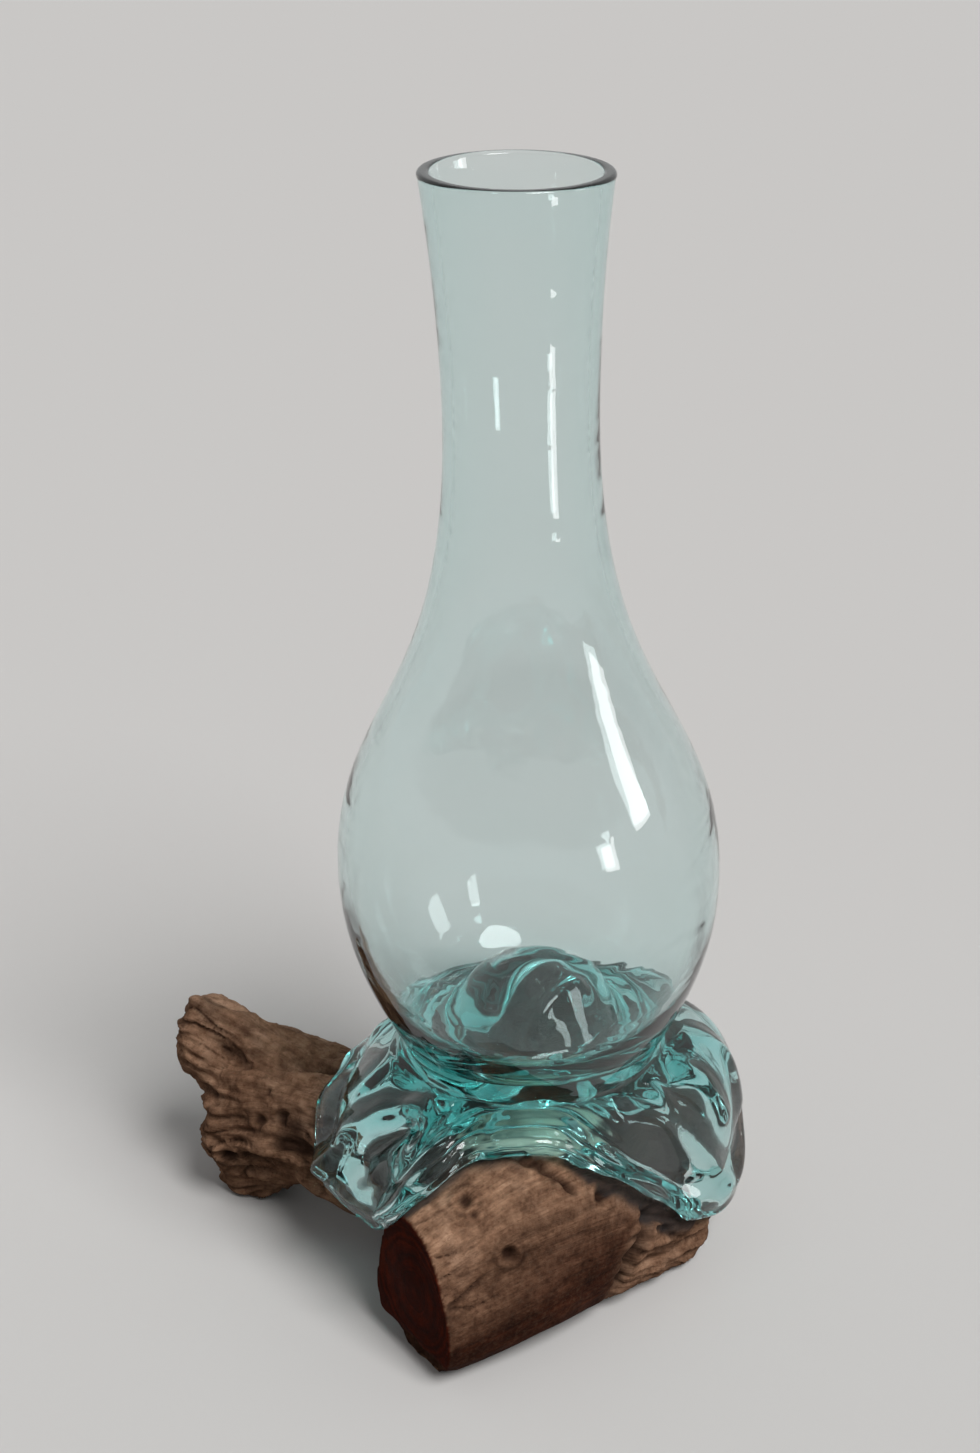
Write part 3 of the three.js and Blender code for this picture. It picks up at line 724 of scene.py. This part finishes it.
# Height of the wood under the foot, on a fine grid and without its furrows, which stiff glass bridges
grid_step = 0.0008
grid_reach = 0.072
grid_line = np.arange(-grid_reach, grid_reach + grid_step, grid_step)
root_tree = BVHTree.FromPolygons([Vector(p) for p in wood], [tuple(p.vertices) for p in root_skin.polygons])
above, below = 0.1, -0.01
wood_top = np.full((len(grid_line), len(grid_line)), below)
for i, x in enumerate(grid_line):
    for j, y in enumerate(grid_line):
        hit = root_tree.ray_cast(Vector((x, y, above)), Vector((0, 0, -1)))[0]
        if hit:
            wood_top[i, j] = hit.z


def spread_highest(grid, rounds):
    for _ in range(rounds):
        padded = np.pad(grid, 1, mode="edge")
        size = grid.shape
        grid = np.max([padded[i:i + size[0], j:j + size[1]] for i in range(3) for j in range(3)], axis=0)
    return grid


def blurred(grid, rounds):
    for _ in range(rounds):
        padded = np.pad(grid, 1, mode="edge")
        grid = (padded[:-2, 1:-1] + padded[2:, 1:-1] + padded[1:-1, :-2] + padded[1:-1, 2:]
                + 2 * padded[1:-1, 1:-1]) / 6
    return grid


# The hot middle took a closer print of the wood than the stiffer skirt, from one distance to another
print_reach = (0.024, 0.031)
printed_form = blurred(spread_highest(wood_top, rounds=2), rounds=8)
smooth_form = blurred(spread_highest(wood_top, rounds=4), rounds=26)


def seat_height(rings, seat_form):
    """Lowest height that the glass may have at each point, clear of the wood."""
    column = np.clip((rings[..., 0] + grid_reach) / grid_step, 0, len(grid_line) - 1.001)
    row = np.clip((rings[..., 1] + grid_reach) / grid_step, 0, len(grid_line) - 1.001)
    i, j = column.astype(int), row.astype(int)
    u, v = column - i, row - j
    height = (seat_form[i, j] * (1 - u) * (1 - v) + seat_form[i + 1, j] * u * (1 - v)
              + seat_form[i, j + 1] * (1 - u) * v + seat_form[i + 1, j + 1] * u * v)
    return height + seat_gap


def raise_off_wood(rings, thickness, seat_form, softness=0.0):
    rings = rings.copy()
    missing = seat_height(rings, seat_form) + thickness - rings[..., 2]
    rings[..., 2] += (missing + np.sqrt(missing ** 2 + softness ** 2)) / 2
    return rings


outer_share = 1 - smoothstep(0.80, 1.0, foot_shares)
foot = raise_off_wood(foot, least_skirt * outer_share, smooth_form, softness=least_skirt)
crease = raise_off_wood(crease, least_crease, smooth_form)

# Underside: the outside moved in by the sheet's thickness, then in to the axis, and lifted clear of
# the wood. Its points lie evenly along that way, so that the sides of the stump have enough of them.
turn_in, turn_in_steps = 0.28, 150  # share of the foot's curve at which the underside leaves it
fine_shares = np.linspace(1, turn_in, turn_in_steps)[:, None]
fine_profile = bezier(foot_handles, fine_shares[:, 0])
back_up = np.gradient(fine_profile, axis=0)
inward = np.stack((-back_up[..., 1], back_up[..., 0]), axis=-1)
inward /= np.linalg.norm(inward, axis=-1, keepdims=True)
thick_lip = lip_thickness + corner_thickening * arc(296, 312, 340, 356)
sheet = (thick_lip + (sheet_thickness - thick_lip) * (1 - smoothstep(0.86, 1.0, fine_shares))
         + (core_thickness - sheet_thickness) * (1 - smoothstep(0.25, 0.6, fine_shares))
         + arch_thickening * over_arch * (1 - smoothstep(0.6, 1.0, fine_shares)))
under_sheet = fine_profile + sheet[..., None] * inward
under_middle = bezier([
    under_sheet[-1],
    pairs(under_sheet[-1, :, 0] * 0.6, underside_height + arch_lift * over_arch[0]),
    pairs(0 * ones, underside_height),
], np.linspace(0, 0.99, 400)[1:])
under_way = swept(np.concatenate((under_sheet, under_middle)))
print_share = 1 - smoothstep(*print_reach, np.linalg.norm(under_way[..., :2], axis=-1, keepdims=True))
smooth_way = raise_off_wood(under_way, 0, smooth_form)
under_way = smooth_way + print_share * (raise_off_wood(under_way, 0, printed_form) - smooth_way)
way_length = np.linalg.norm(np.diff(under_way, axis=0), axis=-1)
way_length = np.concatenate((np.zeros((1, bearings)), np.cumsum(way_length, axis=0)))
underside = np.empty((underside_rings, bearings, 3))
for i in range(bearings):
    stops = np.linspace(0, way_length[-1, i], underside_rings)
    for axis in range(3):
        underside[:, i, axis] = np.interp(stops, way_length[:, i], under_way[:, i, axis])
lip_turns = np.linspace(0, math.pi, 10)[1:-1, None, None]
lip_middle, lip_half = (foot[-1] + underside[0]) / 2, (foot[-1] - underside[0]) / 2
lip = lip_middle + lip_half * np.cos(lip_turns) - np.array((0, 0, lip_rounding)) * np.sin(lip_turns)
lip = raise_off_wood(lip, 0, smooth_form)

# The floor inside lies over the stump, with swellings, a dimple at the front left and a fold beside it:
# the middle or line of each, its radius or half-width and its height
floor_bumps = [
    ((-0.0050, 0.0030), 0.0080, 0.0010), ((0.0180, 0.0070), 0.0070, 0.0012),
    ((-0.0066, -0.0120), 0.0050, -0.0026), ((0.0080, 0.0020), 0.0050, -0.0012),
]
floor_fold = ([(-0.0010, -0.0200, 0), (0.0055, -0.0135, 0), (0.0125, -0.0075, 0)], 0.0024, 0.0022)


def floor_relief(rings):
    flat_points = rings.reshape(-1, 3) * (1, 1, 0)
    rise = np.zeros(len(flat_points))
    for middle, radius, height in floor_bumps:
        distance = np.linalg.norm(flat_points[:, :2] - np.array(middle), axis=1)
        rise += height * np.exp(-(distance / radius) ** 2)
    line, half_width, height = floor_fold
    rise += height * np.exp(-(distance_to_line(flat_points, line) / half_width) ** 2)
    rise += floor_unevenness * noise_at(flat_points, floor_lump, 205)
    return rise.reshape(rings.shape[:2])


floor_end = 0.45
inside_floor = swept(np.vstack((
    bezier(floor_curve, np.linspace(0.03, 1, 34)), bezier(inner_belly, shares(18, 0, floor_end)))))
out_share = np.linalg.norm(inside_floor[..., :2], axis=-1) / trough_radius
inside_floor[..., :2] += floor_shift * np.maximum(0, 1 - out_share)[..., None] * (1, 1)
inside_floor[..., 2] += (1 - smoothstep(1.0, 1.4, out_share)) * floor_relief(inside_floor)

# The rim is cut cold and its two edges are fire-polished round
corner = np.linspace(0, math.pi / 2, 7)
inner_edge = pairs(rim_radius - rim_wall + rim_rounding * (1 - np.cos(corner)),
                   rim_height - rim_rounding * (1 - np.sin(corner)))
outer_edge = pairs(rim_radius - rim_rounding * (1 - np.sin(corner)),
                   rim_height - rim_rounding * (1 - np.cos(corner)))
inside_profile = np.vstack((
    bezier(inner_belly, np.linspace(floor_end, 1, 20)), bezier(inner_shoulder, shares(30)),
    bezier(inner_flare, shares(16, 0, 0.97)), inner_edge))
outside_profile = np.vstack((
    outer_edge, bezier(flare, np.linspace(0.03, 1, 17)), bezier(shoulder, shares(32)),
    bezier(belly, shares(26, 0, belly_end))))

recycled_glass = new_material("recycled_glass")
cord_place = add_node(recycled_glass, "Mapping", {
    "Vector": add_node(recycled_glass, "TexCoord").outputs["Object"], "Scale": (38, 38, 70)})
cords = noise_texture(recycled_glass, {
    "Vector": cord_place.outputs["Vector"], "Detail": 2.0, "Roughness": 0.5, "Distortion": 0.4})
glass_bump = add_node(recycled_glass, "Bump", {"Strength": 0.2, "Distance": 0.0012, "Height": cords})
finish_surface(recycled_glass, {
    "Base Color": (1, 1, 1, 1), "Transmission Weight": 1.0, "Roughness": 0.0, "IOR": 1.5,
    "Normal": glass_bump.outputs["Normal"]})
tint = add_node(recycled_glass, "VolumeAbsorption", {"Color": (0.0, 0.67, 0.65, 1), "Density": 45.0})
glass_output = recycled_glass.node_tree.nodes["Material Output"]
recycled_glass.node_tree.links.new(tint.outputs["Volume"], glass_output.inputs["Volume"])

# The wall repeats one profile at every bearing. Each point of the profile holds a radius, a side, which
# is 0 inside and 1 outside, and a height.
turned_wall = bpy.data.node_groups.new("turned_wall", "GeometryNodeTree")
wall_inputs = {
    "Bearings": ("NodeSocketInt", bearings),
    "Unevenness": ("NodeSocketFloat", 0.0003),
    "Lump width": ("NodeSocketFloat", 0.030),
    "Lump height": ("NodeSocketFloat", 0.060),
    "Seed": ("NodeSocketFloat", 4.0),
    "Even below": ("NodeSocketFloat", 0.0935),
    "Rim height": ("NodeSocketFloat", rim_height),
    "Lean": ("NodeSocketFloat", lean),
    "Lean from": ("NodeSocketFloat", collar_height),
    "Glass": ("NodeSocketMaterial", recycled_glass),
}
turned_wall.interface.new_socket("Profile", in_out="INPUT", socket_type="NodeSocketGeometry")
for name, (kind, _) in wall_inputs.items():
    turned_wall.interface.new_socket(name, in_out="INPUT", socket_type=kind)
turned_wall.interface.new_socket("Wall", in_out="OUTPUT", socket_type="NodeSocketGeometry")


def wall_node(kind, inputs=(), **settings):
    made = turned_wall.nodes.new(kind)
    for name, value in settings.items():
        setattr(made, name, value)
    return fill_inputs(turned_wall, made, inputs)


def wall_maths(operation, *values):
    return wall_node("ShaderNodeMath", dict(enumerate(values)), operation=operation).outputs["Value"]


def wall_fade(value, start, end):
    """From 0 at the start to 1 at the end."""
    made = wall_node("ShaderNodeMapRange", {"Value": value, "From Min": start, "From Max": end},
                     interpolation_type="SMOOTHSTEP")
    return made.outputs["Result"]


given = wall_node("NodeGroupInput").outputs
profile_points = wall_node("GeometryNodeAttributeDomainSize", {"Geometry": given["Profile"]})
columns = wall_maths("ADD", given["Bearings"], 1.0)
wall_grid = wall_node("GeometryNodeMeshGrid", {
    "Vertices X": profile_points.outputs["Point Count"], "Vertices Y": columns})
index = wall_node("GeometryNodeInputIndex").outputs["Index"]
ring = wall_maths("FLOOR", wall_maths("DIVIDE", wall_maths("ADD", index, 0.5), columns))
column = wall_maths("SUBTRACT", index, wall_maths("MULTIPLY", ring, columns))
bearing = wall_maths("MULTIPLY", wall_maths("DIVIDE", column, given["Bearings"]), 2 * math.pi)
across, along = wall_maths("COSINE", bearing), wall_maths("SINE", bearing)
profile_place = wall_node("GeometryNodeSampleIndex", {
    "Geometry": given["Profile"], "Value": wall_node("GeometryNodeInputPosition").outputs["Position"],
    "Index": ring}, data_type="FLOAT_VECTOR")
parts = wall_node("ShaderNodeSeparateXYZ", {0: profile_place.outputs["Value"]}).outputs
radius, side, height = parts["X"], parts["Y"], parts["Z"]
lump_place = wall_node("ShaderNodeCombineXYZ", {
    "X": wall_maths("DIVIDE", wall_maths("MULTIPLY", radius, across), given["Lump width"]),
    "Y": wall_maths("DIVIDE", wall_maths("MULTIPLY", radius, along), given["Lump width"]),
    "Z": wall_maths("DIVIDE", height, given["Lump height"])})
lumps = wall_node("ShaderNodeTexNoise", {
    "Vector": lump_place.outputs["Vector"], "W": wall_maths("MULTIPLY_ADD", side, 0.5, given["Seed"]),
    "Scale": 1.0, "Detail": 1.0}, noise_dimensions="4D")
blown = wall_maths("MULTIPLY", wall_maths("SUBTRACT", lumps.outputs["Fac"], 0.5),
                   wall_maths("MULTIPLY", given["Unevenness"], 2.0))
for edge, fade in ((given["Even below"], 0.03), (given["Rim height"], -0.012)):
    blown = wall_maths("MULTIPLY", blown, wall_fade(height, edge, wall_maths("ADD", edge, fade)))
blown_radius = wall_maths("ADD", radius, blown)
above_collar = wall_maths("MAXIMUM", wall_maths("SUBTRACT", height, given["Lean from"]), 0.0)
wall_place = wall_node("ShaderNodeCombineXYZ", {
    "X": wall_maths("SUBTRACT", wall_maths("MULTIPLY", blown_radius, across),
                    wall_maths("MULTIPLY", above_collar, given["Lean"])),
    "Y": wall_maths("MULTIPLY", blown_radius, along), "Z": height})
turned = wall_node("GeometryNodeSetPosition", {
    "Geometry": wall_grid.outputs["Mesh"], "Position": wall_place.outputs["Vector"]})
closed = wall_node("GeometryNodeMergeByDistance", {"Geometry": turned.outputs["Geometry"], "Distance": 1e-6})
realized = wall_node("GeometryNodeRealizeInstances", {"Geometry": closed.outputs["Geometry"]})
glazed = wall_node("GeometryNodeSetMaterial", {
    "Geometry": realized.outputs["Geometry"], "Material": given["Glass"]})
turned_wall.links.new(glazed.outputs["Geometry"], wall_node("NodeGroupOutput").inputs["Wall"])

profile = np.vstack((np.insert(inside_profile, 1, 0, axis=1), np.insert(outside_profile, 1, 1, axis=1)))
profile_mesh = bpy.data.meshes.new("wall_profile")
profile_mesh.from_pydata(profile.tolist(), [(k, k + 1) for k in range(len(profile) - 1)], [])
wall_draft = add_object("wall_draft", profile_mesh)
turning = wall_draft.modifiers.new("turned wall", "NODES")
turning.node_group = turned_wall
for socket in turned_wall.interface.items_tree:
    if socket.name in wall_inputs:
        turning[socket.identifier] = wall_inputs[socket.name][1]
wall_mesh = finished_mesh(wall_draft)


def skin(rings, name, pole_first):
    """A mesh over rings that are joined side to side, closed at one end on a middle point."""
    rings = rings if pole_first else rings[::-1]
    rings[..., 0] -= lean * np.maximum(0, rings[..., 2] - collar_height)
    count = len(rings)
    points = np.vstack((rings.reshape(-1, 3), rings[0].mean(0)))
    index = np.arange(count * bearings).reshape(count, bearings)
    ahead = np.roll(index, -1, axis=1)
    faces = np.stack((index[:-1], index[1:], ahead[1:], ahead[:-1]), axis=-1).reshape(-1, 4).tolist()
    faces += [(len(points) - 1, int(a), int(b)) for a, b in zip(index[0], ahead[0])]
    mesh = bpy.data.meshes.new(name)
    mesh.from_pydata(points.tolist(), [], faces)
    return mesh


crease_top = swept([crease_start])
foot_skin = skin(np.concatenate((crease_top, crease, foot, lip, underside)), "slumped_foot", False)
floor_skin = skin(inside_floor, "raised_floor", True)
vase_bm = bmesh.new()
for mesh in (wall_mesh, foot_skin, floor_skin):
    vase_bm.from_mesh(mesh)
seams = [vertex for vertex in vase_bm.verts if vertex.is_boundary]
bmesh.ops.remove_doubles(vase_bm, verts=seams, dist=2e-6)
bmesh.ops.recalc_face_normals(vase_bm, faces=vase_bm.faces)
vase_skin = bpy.data.meshes.new("blown_vase")
vase_bm.to_mesh(vase_skin)
vase_bm.free()
place_piece(vase_skin, "blown_vase", recycled_glass, "vase", "vase")


# Floor and light
# A plain pale floor that runs out of the picture, soft light all round, and window-like lamps beside
# the object that only its reflections show.
floor_colour = colour(214, 212, 210)
floor_bounce = colour(100, 90, 80)
floor_reach, floor_height = 30.0, -0.0001
floor_mesh = bpy.data.meshes.new("floor")
corners = [(floor_reach * x, floor_reach * y, floor_height) for x, y in ((-1, -1), (1, -1), (1, 1), (-1, 1))]
floor_mesh.from_pydata(corners, [], [(0, 1, 2, 3)])
floor_paint = new_material("floor_paint")


def ray_kinds(material):
    """Whether a ray is the camera's, and whether it is that or one in a reflection or in the glass."""
    rays = add_node(material, "LightPath").outputs
    in_glass = maths(material, "MAXIMUM", rays["Is Glossy Ray"], rays["Is Transmission Ray"])
    return rays["Is Camera Ray"], maths(material, "MAXIMUM", rays["Is Camera Ray"], in_glass)


floor_tone = mix_colour(floor_paint, ray_kinds(floor_paint)[1], floor_bounce, floor_colour)
finish_surface(floor_paint, {"Base Color": floor_tone, "Roughness": 0.7, "Specular IOR Level": 0.0})
floor_mesh.materials.append(floor_paint)
floor = add_object("floor", floor_mesh)

world = bpy.data.worlds.new("studio")
bpy.context.scene.world = world
world.use_nodes = True
looked_at, seen = ray_kinds(world)
outlook = add_node(world, "SeparateXYZ", {"Vector": add_node(world, "TexCoord").outputs["Generated"]}).outputs


def outlook_band(axis, start, end, start_tone, end_tone):
    return add_node(world, "MapRange", {
        "Value": outlook[axis], "From Min": start, "From Max": end,
        "To Min": start_tone, "To Max": end_tone}).outputs["Result"]


# The glass shows a room that is paler at the back, overhead and low down
behind = outlook_band("Y", -0.5, 0.6, 0.22, 0.66)
ceiling = outlook_band("Z", 0.75, 0.9, 0.0, 1.0)
low = outlook_band("Z", 0.22, 0.30, 0.62, 0.0)
room_tone = maths(world, "MAXIMUM", maths(world, "MAXIMUM", behind, ceiling), low)
shown = mix_colour(world, room_tone, (0, 0, 0, 1), (0.98, 1.0, 1.0, 1))
fill_light = (0.25, 0.25, 0.25, 1)
backdrop = (0.62, 0.62, 0.61, 1)
lit = mix_colour(world, looked_at, mix_colour(world, seen, fill_light, shown), backdrop)
fill_inputs(world.node_tree, world.node_tree.nodes["Background"], {"Color": lit, "Strength": 1.0})

# Lamps: name, place, what it points at, width, height and brightness
lamps = [
    ("right_window", (2.43, -0.57, 0.86), (0, 0, 0.20), 0.62, 0.70, 7.0),
    ("front_strip", (0.147, -0.151, 0.169), (0, 0, 0.20), 0.030, 0.042, 8.0),
]
for name, place, target, width, height, brightness in lamps:
    light = bpy.data.lights.new(name, "AREA")
    light.shape = "RECTANGLE"
    light.size = width
    light.size_y = height
    light.energy = brightness * math.pi * width * height
    lamp = add_object(name, light)
    lamp.location = place
    lamp.rotation_euler = (Vector(target) - Vector(place)).to_track_quat("-Z", "Y").to_euler()
    lamp.visible_camera = False
    lamp.visible_diffuse = False

overhead = bpy.data.lights.new("overhead", "SUN")
overhead.angle = math.radians(28)
overhead.energy = 0.80 * math.pi
overhead_lamp = add_object("overhead", overhead)
overhead_lamp.rotation_euler = Vector((0.36, -0.52, 0.77)).to_track_quat("Z", "Y").to_euler()


# Camera
# It stands where the photograph was taken from: about 0.57 m in front of the vase and higher than its
# rim, looking down on it.
camera_place = (-0.0109, -0.569, 0.421)
camera_pitch = 24.4
picture_height = 1453
focal_pixels = 2535
sensor = 36.0
camera_data = bpy.data.cameras.new("camera")
camera_data.sensor_width = sensor
camera_data.lens = sensor * focal_pixels / picture_height
camera_data.clip_start = 0.01
camera = add_object("camera", camera_data)
camera.location = camera_place
camera.rotation_euler = (math.radians(90 - camera_pitch), 0, 0)
bpy.context.scene.camera = camera
bpy.context.scene.view_settings.view_transform = "Standard"
